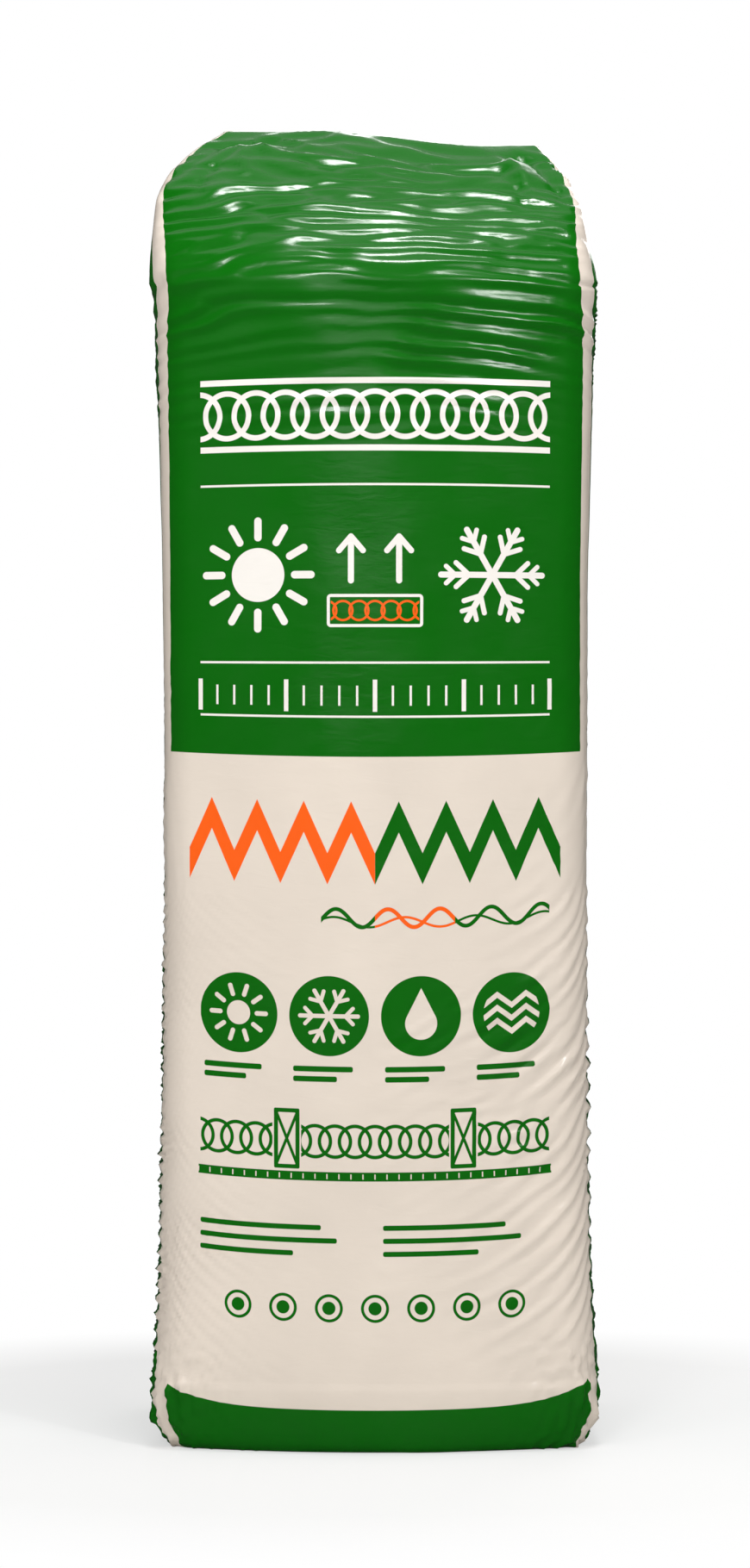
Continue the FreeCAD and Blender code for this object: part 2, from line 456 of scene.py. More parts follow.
@dataclass
class Wrinkles:
    """Every ripple, crease and gather of the film, as a lift from its smooth form.

    The grids hold each point's distance around the film and up it. Heights, depths and the tucks' widths
    are in millimetres, and everything else is in metres. A tuck line gives where it starts, sideways and
    down from the ridge, where it ends, its height, its width and its bow.
    """

    around: np.ndarray
    up: np.ndarray
    girth: float
    field_half: float
    top: float
    seed: int = 11
    shoulder_height: float = 1.9
    shoulder_pitches: tuple = (0.0170, 0.0112)
    sweep_heights: tuple = (2.4, 2.0)
    sweep_pitches: tuple = (0.0145, 0.0240)
    groove_depth: float = 1.1
    batt_pitch: float = 0.0272
    pleat_height: float = 3.6
    hood_fans: tuple = ((-0.160, 14, -0.15, -2.35), (0.175, 9, math.pi + 0.2, math.pi + 1.9))
    hood_fold: tuple = (0.07, 0.15)
    foot_folds: int = 9
    tuck_lines: tuple = (
        (0.150, 0.010, 0.190, 0.165, -8.5, 13, 0.008),
        (0.128, 0.020, 0.160, 0.150, 5.5, 9, 0.006),
        (0.172, 0.040, 0.215, 0.120, 4.0, 7, 0.004),
        (0.120, 0.060, 0.150, 0.175, -3.5, 8, 0.008),
        (-0.150, 0.030, -0.192, 0.140, -5.0, 12, -0.006),
        (-0.135, 0.050, -0.165, 0.165, -4.0, 9, -0.008),
        (-0.158, 0.020, -0.095, 0.095, 4.5, 7, 0.006),
        (-0.158, 0.028, -0.120, 0.125, 3.5, 7, 0.004),
        (-0.150, 0.015, -0.060, 0.055, 3.5, 6, 0.004),
        (-0.110, 0.070, -0.020, 0.110, 3.0, 6, -0.006),
    )

    def __post_init__(self) -> None:
        """Measures each point from the middles of the faces, front and back, and of the sides."""
        self.from_face = np.minimum(np.abs(self.around), self.girth / 2 - np.abs(self.around))
        self.from_side = np.abs(np.abs(self.around) - self.girth / 4)

    def lift(self) -> np.ndarray:
        """The whole relief of the film, but for the tucks.

        Returns:
            The lift at each point.
        """
        total = self._slack() + self._shoulder_ripples()
        total += self._edge_sweeps() + self._side_grooves()
        total += self._foot_gathers() + self._hood_swell()
        for crease in self._hood_creases() + self._foot_creases():
            total += crease.lift(self.around, self.up, self.girth)
        return total

    def tucks(self) -> np.ndarray:
        """The folds that hold their depth at the ends of the hood, where its sides are tucked in.

        Returns:
            The lift at each point.
        """
        total = np.zeros_like(self.up)
        for middle in (0.0, self.girth / 2):
            for x, drop, far_x, far_drop, height, width, bow in self.tuck_lines:
                start, end = (middle + x, self.top - drop), (middle + far_x, self.top - far_drop)
                tuck = Crease(start, end, height * MM, width * MM, bow)
                total += tuck.lift(self.around, self.up, self.girth)
        return total

    def _noise(self, pitch: float, stretch: float, key: int, raised: np.ndarray | float = 0.0) -> np.ndarray:
        """Soft random hills of one pitch, swayed so that they don't line up.

        Args:
            pitch: Distance from hill to hill up the film.
            stretch: How much longer they are around it.
            key: Picks the pattern.
            raised: How far up the film the pattern is read.

        Returns:
            Heights from -1 to 1.
        """
        up = self.up + raised
        cells = max(4, round(self.girth / (pitch * stretch)))
        turn = 2 * math.pi / self.girth
        swing = 0.35 * np.sin(up / pitch * 1.7 + key) + 0.3 * np.sin(turn * 5 * self.around)
        climb = 0.5 * np.sin(turn * round(cells * 0.37) * self.around + key) + 0.3 * np.sin(up / pitch)
        across = (self.around + pitch * stretch * swing) / self.girth * cells
        return soft_noise(across, (up + pitch * climb) / pitch, self.seed + key, cells)

    def _slack(self) -> np.ndarray:
        """Slow unevenness all over, where the wool behind the film is uneven."""
        return (0.9 * self._noise(0.110, 1.0, 1) + 0.45 * self._noise(0.045, 1.6, 2)) * MM

    def _shoulder_ripples(self) -> np.ndarray:
        """Level ripples below the shoulder, which bow down towards the edges and die out lower.

        Returns:
            The lift at each point.
        """
        reach = smooth_step(self.up, 0.985, 1.13) * (1 - smooth_step(self.up, 1.23, 1.30))
        turn = 2 * math.pi * (self.up + 0.40 * self.from_face ** 2 + 0.010 * self._noise(0.05, 2.2, 3))
        coarse, fine = self.shoulder_pitches
        wave = np.sin(turn / coarse + 1.2 * self._noise(0.09, 2.0, 4))
        wave += 0.45 * np.sin(turn / fine + 2.0 * self._noise(0.06, 2.0, 5))
        patch = np.clip(0.70 + 0.85 * self._noise(0.040, 2.6, 6), 0.2, 1.4)
        return self.shoulder_height * MM * reach * patch * wave

    def _edge_sweeps(self) -> np.ndarray:
        """Fine slanted ripples that start at the pack's upright edges and sweep in over the faces.

        Returns:
            The lift at each point.
        """
        inward = np.clip((self.field_half + 0.012 - self.from_face) / self.field_half, 0.0, 1.0)
        quarter, far = self.girth / 4, np.abs(self.around)
        left = ((self.around < 0) & (far < quarter)) | ((self.around > 0) & (far > quarter))
        pitch, height = np.where(left, *self.sweep_pitches), np.where(left, *self.sweep_heights)
        drop = np.where(left, 0.085, 0.060) * (1 - np.exp(-inward / 0.16)) + 0.10 * inward
        turn = 2 * math.pi * (self.up + drop)
        wave = np.sin(turn / pitch + 3.0 * self._noise(0.050, 1.2, 7))
        wave += 0.5 * np.sin(turn / (pitch * 0.61) + 2.4 * self._noise(0.04, 1.0, 8))
        strength = np.exp(-((self.up - 0.40) / 0.10) ** 2) * 0.8 + np.exp(-((self.up - 0.17) / 0.12) ** 2)
        strength += 0.35 * (1 - smooth_step(self.up, 0.60, 0.95))
        fade = np.exp(-inward / np.where(left, 0.22, 0.42)) * smooth_step(self.up, 0.02, 0.10)
        patch = np.clip(0.7 + 0.6 * self._noise(0.06, 1.4, 9), 0.1, 1.5)
        return height * MM * np.clip(strength, 0, 1.2) * fade * patch * wave

    def _side_grooves(self) -> np.ndarray:
        """The edges of the batts, which show through the film on the pack's two sides.

        Returns:
            The lift at each point.
        """
        reach = (1 - smooth_step(self.from_side, 0.150, 0.200)) * smooth_step(self.up, 0.05, 0.12)
        reach *= 1 - smooth_step(self.up, 1.10, 1.17)
        place = self.from_side + 0.003 * self._noise(0.25, 0.4, 10)
        ridge = np.abs(np.sin(math.pi * place / self.batt_pitch)) ** 0.6 - 0.6
        return self.groove_depth * MM * reach * ridge * (0.7 + 0.4 * self._noise(0.12, 1.0, 12))

    def _foot_gathers(self) -> np.ndarray:
        """Pleats that run down to the pack's lower corners, where the film is drawn under.

        Returns:
            The lift at each point.
        """
        beside = self.from_face - (self.field_half + 0.008)
        reach = np.exp(-(beside / 0.075) ** 2) * (1 - smooth_step(self.up, 0.05, 0.15))
        reach *= smooth_step(self.up, -0.12, 0.0)
        fan = np.arctan2(self.from_face - self.field_half + 0.004, 0.20 - self.up)
        pleat = 1 - 2 * np.abs(np.sin(fan * 38 + 1.6 * self._noise(0.03, 1.0, 13)))
        return self.pleat_height * MM * reach * (pleat + 0.7 * self._noise(0.016, 1.0, 14))

    def _hood_swell(self) -> np.ndarray:
        """Low level-lying swells of the slack film over the top, from which its folds grow.

        Returns:
            The lift at each point.
        """
        reach = smooth_step(self.up, 1.15, 1.205) * (1 - smooth_step(self.up, self.top - 0.02, self.top))
        reach *= 1 - 0.9 * np.exp(-((self.from_face - 0.222) / 0.032) ** 2)
        broad = self._noise(0.070, 1.5, 23)
        level = self._noise(0.019, 3.6, 20, 0.05 * self.from_face)
        fine = self._noise(0.010, 2.6, 21)
        side = smooth_step(self.from_face, 0.10, 0.19)
        return MM * reach * (2.4 * broad + (1.5 - 0.5 * side) * level + 1.1 * fine)

    def _hood_creases(self) -> list[Crease]:
        """Fold lines that fan out over the hood from its two upper corners.

        Returns:
            The folds.
        """
        draw = np.random.default_rng(self.seed + 40)
        folds: list[Crease] = []
        for middle in (0.0, self.girth / 2):
            for corner, count, first, last in self.hood_fans:
                for step in range(count):
                    angle = first + (last - first) * (step + draw.uniform(-0.3, 0.3)) / (count - 1)
                    length = draw.uniform(*self.hood_fold)
                    start = (middle + corner, self.top - 0.05)
                    end = (start[0] + math.cos(angle) * length, start[1] + math.sin(angle) * length)
                    folds.append(self._fold(draw, start, end, (2.5, 5.0), (6, 11), 0.010))
        return folds

    def _foot_creases(self) -> list[Crease]:
        """A few sharper folds at the lower corners.

        Returns:
            The folds.
        """
        draw = np.random.default_rng(self.seed + 60)
        folds: list[Crease] = []
        for middle in (0.0, self.girth / 2):
            for hand in (-1, 1):
                for _ in range(self.foot_folds):
                    reach = self.field_half + draw.uniform(-0.01, 0.03)
                    start = (middle + hand * reach, draw.uniform(-0.02, 0.06))
                    angle = draw.uniform(0.35, 1.2)
                    length = draw.uniform(0.03, 0.08)
                    run, rise = math.cos(angle) * length, math.sin(angle) * length * 0.8
                    end = (start[0] - hand * run, start[1] + rise)
                    folds.append(self._fold(draw, start, end, (2.6, 5.2), (4, 8), 0.006))
        return folds

    def _fold(self, draw: np.random.Generator, start: tuple, end: tuple, heights: tuple, widths: tuple,
              bow: float) -> Crease:
        """One fold of random height, width and bow.

        Args:
            draw: Where the random numbers come from.
            start: Where it starts, around and up the film.
            end: Where it ends.
            heights: The least and most height, in millimetres.
            widths: The least and most width, in millimetres.
            bow: The most bow, either way.

        Returns:
            The fold.
        """
        height, width = draw.uniform(*heights) * MM, draw.uniform(*widths) * MM
        return Crease(start, end, height, width, draw.uniform(-bow, bow))


@dataclass
class SlackFilm:
    """Cloth that is longer than the form it covers, and so buckles into folds as it settles.

    Each link of the cloth is put back to its own length in turn, many times over, while the film is pushed
    gently outwards and kept between the wool and the most it can stand proud.
    """

    form: np.ndarray
    outward: np.ndarray
    slack_around: np.ndarray
    slack_up: np.ndarray
    stiffness: np.ndarray
    rounds: int = 240
    push: float = 0.000006
    resist: float = 0.2

    def settle(self, start: np.ndarray, inward: np.ndarray, proud: np.ndarray,
               free: np.ndarray) -> np.ndarray:
        """Lets the film find its folds.

        Args:
            start: Where the film's points start, rows by columns.
            inward: How far each point may sink below the form.
            proud: How far each point may stand out from it.
            free: 1 where the film moves, 0 where it is held.

        Returns:
            Where the points come to rest.
        """
        shape = start.shape
        points = start.reshape(-1, 3).copy()
        weight = free.reshape(-1)
        links = self._links()
        outward = self.outward.reshape(-1, 3)
        rest = self.form.reshape(-1, 3)
        for _ in range(self.rounds):
            points += outward * (self.push * weight)[:, None]
            for first, second, length in links:
                gap = points[second] - points[first]
                reach = np.maximum(np.linalg.norm(gap, axis=1), 1e-9)
                share = weight[first] + weight[second]
                pull = (reach - length) / reach / np.maximum(share, 1e-9)
                points[first] += gap * (pull * weight[first])[:, None]
                points[second] -= gap * (pull * weight[second])[:, None]
            offset = (points - rest).reshape(shape)
            bend = self._unevenness(self._unevenness(offset)) * free[:, :, None]
            points -= (self.stiffness[:, :, None] * bend).reshape(-1, 3)
            lift = ((points - rest) * outward).sum(axis=1)
            over = np.maximum(lift - proud.reshape(-1), 0) + np.minimum(lift + inward.reshape(-1), 0)
            points -= outward * (over * self.resist * weight)[:, None]
        return points.reshape(shape)

    def _unevenness(self, offset: np.ndarray) -> np.ndarray:
        """How far each point's offset is from the mean of its four neighbours'.

        Args:
            offset: The offsets, rows by columns.

        Returns:
            The differences.
        """
        padded = np.concatenate([offset[:1], offset, offset[-1:]], axis=0)
        around = np.roll(offset, 1, axis=1) + np.roll(offset, -1, axis=1)
        return offset - (around + padded[:-2] + padded[2:]) / 4

    def _links(self) -> list[tuple[np.ndarray, np.ndarray, np.ndarray]]:
        """Every link of the cloth, in sets in which no point comes twice.

        Returns:
            First points, second points and lengths of each set.
        """
        rows, columns, _ = self.form.shape
        index = np.arange(rows * columns).reshape(rows, columns)
        beside = np.roll(index, -1, axis=1)
        across = (np.roll(self.form, -1, axis=1) - self.form) * (1 + self.slack_around)[:, :, None]
        climb = np.diff(self.form, axis=0) * (1 + self.slack_up[:-1])[:, :, None]
        links = [(index[:, odd::2], beside[:, odd::2], across[:, odd::2]) for odd in (0, 1)]
        for odd in (0, 1):
            low, high = index[:-1][odd::2], index[1:][odd::2]
            rise, run = climb[odd::2], across[:-1][odd::2]
            links.append((low, high, rise))
            links.append((low, beside[1:][odd::2], rise + run))
            links.append((beside[:-1][odd::2], high, rise - run))
        return [(a.reshape(-1), b.reshape(-1), np.linalg.norm(c.reshape(-1, 3), axis=1)) for a, b, c in links]


Number = Union[float, "Field"]


class Field:
    """A number that varies over a surface, held by a socket of a material's nodes."""

    def __init__(self, tree: bpy.types.NodeTree, socket: bpy.types.NodeSocket) -> None:
        """Keeps the tree that the socket belongs to."""
        self.tree = tree
        self.socket = socket

    def math(self, operation: str, *others: Number, clamp: bool = False) -> "Field":
        """Puts one math node after this value.

        Args:
            operation: The node's operation.
            others: Its other inputs, numbers or fields.
            clamp: Whether the result is kept from 0 to 1.

        Returns:
            The node's result.
        """
        node = self.tree.nodes.new("ShaderNodeMath")
        node.operation = operation
        node.use_clamp = clamp
        self.tree.links.new(self.socket, node.inputs[0])
        for index, other in enumerate(others, start=1):
            if isinstance(other, Field):
                self.tree.links.new(other.socket, node.inputs[index])
            else:
                node.inputs[index].default_value = other
        return Field(self.tree, node.outputs[0])

    def __add__(self, other: Number) -> "Field":
        """The sum."""
        return self.math("ADD", other)

    def __sub__(self, other: Number) -> "Field":
        """The difference."""
        return self.math("SUBTRACT", other)

    def __mul__(self, other: Number) -> "Field":
        """The product."""
        return self.math("MULTIPLY", other)

    def __abs__(self) -> "Field":
        """The size without its sign."""
        return self.math("ABSOLUTE")

    def __or__(self, other: "Field") -> "Field":
        """Both shapes together, for distances that are below zero inside."""
        return self.math("MINIMUM", other)

    def __and__(self, other: "Field") -> "Field":
        """Where both shapes are, for distances that are below zero inside."""
        return self.math("MAXIMUM", other)

    def without(self, other: "Field") -> "Field":
        """This shape with the other cut out of it."""
        return self & other * -1.0

    def wrap(self, half: float) -> "Field":
        """The value folded into the span from -half to half."""
        return self.math("WRAP", half, -half)

    def inked(self, edge: float = 0.0003) -> "Field":
        """1 inside the shape and 0 outside, with a soft edge."""
        return (self * (-1.0 / edge)).math("ADD", 0.5, clamp=True)


@dataclass
class Sheet:
    """A place to draw on: two coordinates in metres, which a motif can move, fold or repeat.

    Each shape is the distance to its edge, below zero inside.
    """

    x: Field
    y: Field

    def at(self, x: float, y: float) -> "Sheet":
        """The sheet with its origin moved."""
        return Sheet(self.x - x, self.y - y)

    def row(self, pitch: float) -> "Sheet":
        """The sheet repeated sideways."""
        return Sheet(self.x.wrap(pitch / 2), self.y)

    def petals(self, count: int) -> "Sheet":
        """The sheet repeated around its origin, each repeat along +X.

        Args:
            count: How many repeats there are.

        Returns:
            The sheet.
        """
        turn = self.y.math("ARCTAN2", self.x).wrap(math.pi / count)
        reach = self.length()
        return Sheet(reach * turn.math("COSINE"), reach * turn.math("SINE"))

    def length(self) -> Field:
        """Distance from the origin."""
        return (self.x * self.x + self.y * self.y).math("SQRT")

    def disc(self, radius: float) -> Field:
        """A filled circle."""
        return self.length() - radius

    def ring(self, radius: float, line: float) -> Field:
        """A circle drawn with a line."""
        return abs(self.disc(radius)) - line / 2

    def slab(self, half_width: float, half_height: float, corner: float = 0.0) -> Field:
        """A rectangle.

        Args:
            half_width: From its middle to its side.
            half_height: From its middle to its top.
            corner: The radius of its corners, if they are round.

        Returns:
            The shape.
        """
        if corner == 0.0:
            return (abs(self.x) - half_width) & (abs(self.y) - half_height)
        out_x = (abs(self.x) - (half_width - corner)).math("MAXIMUM", 0.0)
        out_y = (abs(self.y) - (half_height - corner)).math("MAXIMUM", 0.0)
        return Sheet(out_x, out_y).length() - corner

    def frame(self, half_width: float, half_height: float, corner: float, line: float) -> Field:
        """A rectangle drawn with a line."""
        outer = self.slab(half_width, half_height, corner)
        return outer.without(self.slab(half_width - line, half_height - line, max(corner - line, 0.001)))

    def stroke(self, start: tuple[float, float], end: tuple[float, float], line: float) -> Field:
        """A straight line with round ends.

        Args:
            start: One end.
            end: The other end.
            line: The line's width.

        Returns:
            The shape.
        """
        run, rise = end[0] - start[0], end[1] - start[1]
        near = self.at(*start)
        share = (near.x * run + near.y * rise) * (1.0 / (run * run + rise * rise))
        share = share.math("ADD", 0.0, clamp=True)
        return Sheet(near.x - share * run, near.y - share * rise).length() - line / 2

    def zigzag(self, pitch: float, height: float, line: float) -> Field:
        """An endless zigzag ribbon along X.

        Args:
            pitch: From peak to peak.
            height: From trough to peak, along the ribbon's middle.
            line: The ribbon's width.

        Returns:
            The shape.
        """
        slope = 2 * height / pitch
        climb = (self.x.math("PINGPONG", pitch / 2) - pitch / 4) * slope
        return abs(self.y - climb) * (1.0 / math.hypot(1.0, slope)) - line / 2

    def wave(self, pitch: float, height: float, line: float) -> Field:
        """An endless wavy line along X.

        Args:
            pitch: From crest to crest.
            height: From trough to crest.
            line: The line's width.

        Returns:
            The shape.
        """
        turn = self.x * (2 * math.pi / pitch)
        slope = turn.math("COSINE") * (math.pi * height / pitch)
        climb = turn.math("SINE") * (height / 2)
        return abs(self.y - climb) * (slope * slope + 1.0).math("INVERSE_SQRT") - line / 2

    def loops(self, pitch: float, radius: float, line: float) -> Field:
        """An endless chain of overlapping loops along X, the usual hatch for wool."""
        other = Sheet(self.x - pitch, self.y)
        return self.row(2 * pitch).ring(radius, line) | other.row(2 * pitch).ring(radius, line)


@dataclass(frozen=True)
class Print:
    """The bag's print, in metres along the film from the middle of its front and up from the floor."""

    field_half: float
    stripe: float = 0.022
    change: float = 0.696
    band: float = 0.045
    art_half: float = 0.178
    rule: float = 0.0011
    loop_height: float = 1.038
    rule_heights: tuple = (0.968, 0.790, 0.736)
    emblem_height: float = 0.878
    emblem_reach: float = 0.118
    layer_drop: float = 0.036
    tick_height: float = 0.757
    ticks: tuple = ((0.0178, 0.0011, 0.010, 0.1790), (0.0890, 0.0022, 0.016, 0.1812))
    border_height: float = 0.610
    border_half: float = 0.095
    line_height: float = 0.535
    badge_height: float = 0.437
    joist_height: float = 0.308
    joist_reach: float = 0.0885
    bars: tuple = ((0.226, 0.062), (0.213, 0.070), (0.200, 0.048))
    dot_height: float = 0.146

    def white(self, sheet: Sheet) -> Field:
        """What is left white on the green field.

        Args:
            sheet: Where it is drawn.

        Returns:
            The distance to it, below zero inside.
        """
        band, emblems = sheet.at(0.0, self.loop_height), sheet.at(0.0, self.emblem_height)
        scale = sheet.at(0.0, self.tick_height)
        loops = band.loops(0.030, 0.0225, 0.0054) & band.slab(self.art_half, 0.040)
        rails = abs(abs(band.y) - 0.0335) - 0.0030
        art = loops | (rails & band.slab(self.art_half, 0.060)) | self._arrows(emblems)
        art = art | self._sun(emblems.at(-self.emblem_reach, 0.0))
        art = art | self._flake(emblems.at(self.emblem_reach, 0.0))
        for pitch, half, tall, reach in self.ticks:
            art = art | (scale.row(pitch).slab(half, tall) & scale.slab(reach, 0.020))
        for height in self.rule_heights:
            art = art | sheet.at(0.0, height).slab(self.art_half, self.rule)
        return art

    def orange(self, sheet: Sheet) -> Field:
        """The orange ink.

        Args:
            sheet: Where it is drawn.

        Returns:
            The distance to it, below zero inside.
        """
        layer, line = sheet.at(0.0, self.emblem_height - self.layer_drop), sheet.at(0.040, self.line_height)
        core = layer.loops(0.016, 0.0095, 0.0022) & layer.slab(0.044, 0.012)
        return core | self._border(sheet, -1) | (self._wavy_line(sheet) & line.slab(0.040, 0.02))

    def green(self, sheet: Sheet) -> Field:
        """The green ink on the cream field.

        Args:
            sheet: Where it is drawn.

        Returns:
            The distance to it, below zero inside.
        """
        art = self._border(sheet, 1) | self._wavy_line(sheet)
        for place, motif in ((-0.138, self._sun_mark), (-0.046, self._flake_mark),
                             (0.046, self._drop_mark), (0.138, self._layer_mark)):
            badge = sheet.at(place, self.badge_height)
            art = art | badge.disc(0.0400).without(motif(badge)) | badge.ring(0.0375, 0.0030)
            for x, drop, half in ((-0.006, 0.0530, 0.0300), (-0.014, 0.0630, 0.0220)):
                art = art | badge.at(x, -drop).slab(half, 0.0028, 0.0020)
        art = art | self._joists(sheet.at(0.0, self.joist_height))
        for height, half in self.bars:
            for start in (-0.178, 0.008):
                art = art | sheet.at(start + half, height).slab(half, 0.0026, 0.0020)
        dots = sheet.at(0.0, self.dot_height)
        rings = dots.row(0.046).disc(0.0066) | dots.row(0.046).ring(0.0125, 0.0030)
        return art | (rings & dots.slab(0.158, 0.02))

    def _border(self, sheet: Sheet, hand: int) -> Field:
        """Half of the zigzag border: the left half for -1 and the right one for 1."""
        row, half = sheet.at(0.0, self.border_height), self.border_half
        return row.zigzag(0.0475, 0.052, 0.0130) & row.at(hand * half, 0.0).slab(half, 0.050)

    def _wavy_line(self, sheet: Sheet) -> Field:
        """Two loose wavy lines that cross.

        Args:
            sheet: Where they are drawn.

        Returns:
            The distance to them, below zero inside.
        """
        row = sheet.at(0.0, self.line_height)
        lines = row.wave(0.052, 0.018, 0.0040) | row.at(0.012, -0.004).wave(0.071, 0.010, 0.0024)
        return lines & row.at(0.062, 0.0).slab(0.116, 0.03)

    def _sun(self, sheet: Sheet) -> Field:
        """A large sun."""
        return sheet.disc(0.0270) | sheet.petals(12).stroke((0.0375, 0.0), (0.0540, 0.0), 0.0075)

    def _flake(self, sheet: Sheet) -> Field:
        """A large snowflake."""
        return self._arms(sheet, ((0.0, 0.0520, 0.0, 0.0060), (0.0240, 0.0370, 0.0120, 0.0050),
                                  (0.0380, 0.0470, 0.0085, 0.0046)))

    def _flake_mark(self, sheet: Sheet) -> Field:
        """A small snowflake."""
        return self._arms(sheet, ((0.0, 0.0290, 0.0, 0.0042), (0.0165, 0.0240, 0.0078, 0.0038)))

    def _arms(self, sheet: Sheet, strokes: tuple) -> Field:
        """The six arms of a snowflake.

        Args:
            sheet: Where it is drawn, about its middle.
            strokes: For each stroke, where it leaves the arm's middle, how far out and how far aside it
                ends, and its width.

        Returns:
            The distance to it, below zero inside.
        """
        arm = sheet.petals(6)
        arm = Sheet(arm.x, abs(arm.y))
        lines = [arm.stroke((start, 0.0), (end, aside), line) for start, end, aside, line in strokes]
        return reduce(Field.__or__, lines)

    def _arrows(self, sheet: Sheet) -> Field:
        """A layer of wool that turns two arrows back.

        Args:
            sheet: Where it is drawn.

        Returns:
            The distance to it, below zero inside.
        """
        layer = sheet.at(0.0, -self.layer_drop).frame(0.0480, 0.0165, 0.004, 0.0030)
        folded = Sheet(abs(sheet.x) - 0.024, sheet.y)
        shaft = folded.stroke((0.0, -0.006), (0.0, 0.034), 0.0060)
        barbs = [folded.stroke((0.0, 0.038), (hand * 0.012, 0.024), 0.0058) for hand in (-1, 1)]
        return layer | shaft | barbs[0] | barbs[1]

    def _sun_mark(self, sheet: Sheet) -> Field:
        """A small sun."""
        return sheet.disc(0.0120) | sheet.petals(10).stroke((0.0190, 0.0), (0.0280, 0.0), 0.0046)

    def _drop_mark(self, sheet: Sheet) -> Field:
        """A water drop: a disc under a point that is tangent to it."""
        point = abs(sheet.x) * 0.8926 + (sheet.y - 0.0280) * 0.4509
        return sheet.at(0.0, -0.0075).disc(0.0160) | (point & (sheet.y * -1.0 - 0.0003))

    def _layer_mark(self, sheet: Sheet) -> Field:
        """Three layers, one on another."""
        layers = [sheet.at(0.0, lift).zigzag(0.0300, 0.0110, 0.0050) for lift in (-0.013, 0.0, 0.013)]
        return reduce(Field.__or__, layers) & sheet.disc(0.0290)

    def _joists(self, sheet: Sheet) -> Field:
        """A cut through a ceiling: wool between joists, over its lining.

        Args:
            sheet: Where it is drawn.

        Returns:
            The distance to it, below zero inside.
        """
        joist = Sheet(abs(sheet.x) - self.joist_reach, sheet.y - 0.006)
        art = joist.frame(0.0130, 0.0300, 0.0015, 0.0042)
        for hand in (-1, 1):
            art = art | joist.stroke((-0.0110, hand * 0.0270), (0.0110, -hand * 0.0270), 0.0030)
        wool = sheet.at(0.0, 0.004).loops(0.0200, 0.0155, 0.0036) & sheet.slab(self.art_half, 0.030)
        lining = sheet.at(0.0, -0.031)
        board = lining.slab(0.180, 0.0045).without(lining.row(0.012).slab(0.0006, 0.0025))
        return art | wool.without(joist.slab(0.0145, 0.040)) | board


def feed(tree: bpy.types.NodeTree, socket: bpy.types.NodeSocket, value: object) -> None:
    """Gives a socket a plain value, or links a field or another node's socket to it.

    Args:
        tree: The nodes it belongs to.
        socket: The socket.
        value: What it gets.
    """
    if isinstance(value, Field):
        tree.links.new(value.socket, socket)
    elif isinstance(value, bpy.types.NodeSocket):
        tree.links.new(value, socket)
    else:
        socket.default_value = value


def add_node(tree: bpy.types.NodeTree, kind: str, **inputs: object) -> bpy.types.Node:
    """Adds a node and feeds its inputs.

    Args:
        tree: Where it goes.
        kind: Its type.
        inputs: What each of its inputs gets.

    Returns:
        The node.
    """
    node = tree.nodes.new(f"ShaderNode{kind}")
    for name, value in inputs.items():
        feed(tree, node.inputs[name], value)
    return node


def new_finish(name: str) -> tuple[bpy.types.Material, bpy.types.NodeTree, bpy.types.Node]:
    """Starts a material.

    Args:
        name: What it is called.

    Returns:
        The material, its nodes and its shader.
    """
    finish = bpy.data.materials.new(name)
    finish.use_nodes = True
    return finish, finish.node_tree, finish.node_tree.nodes["Principled BSDF"]


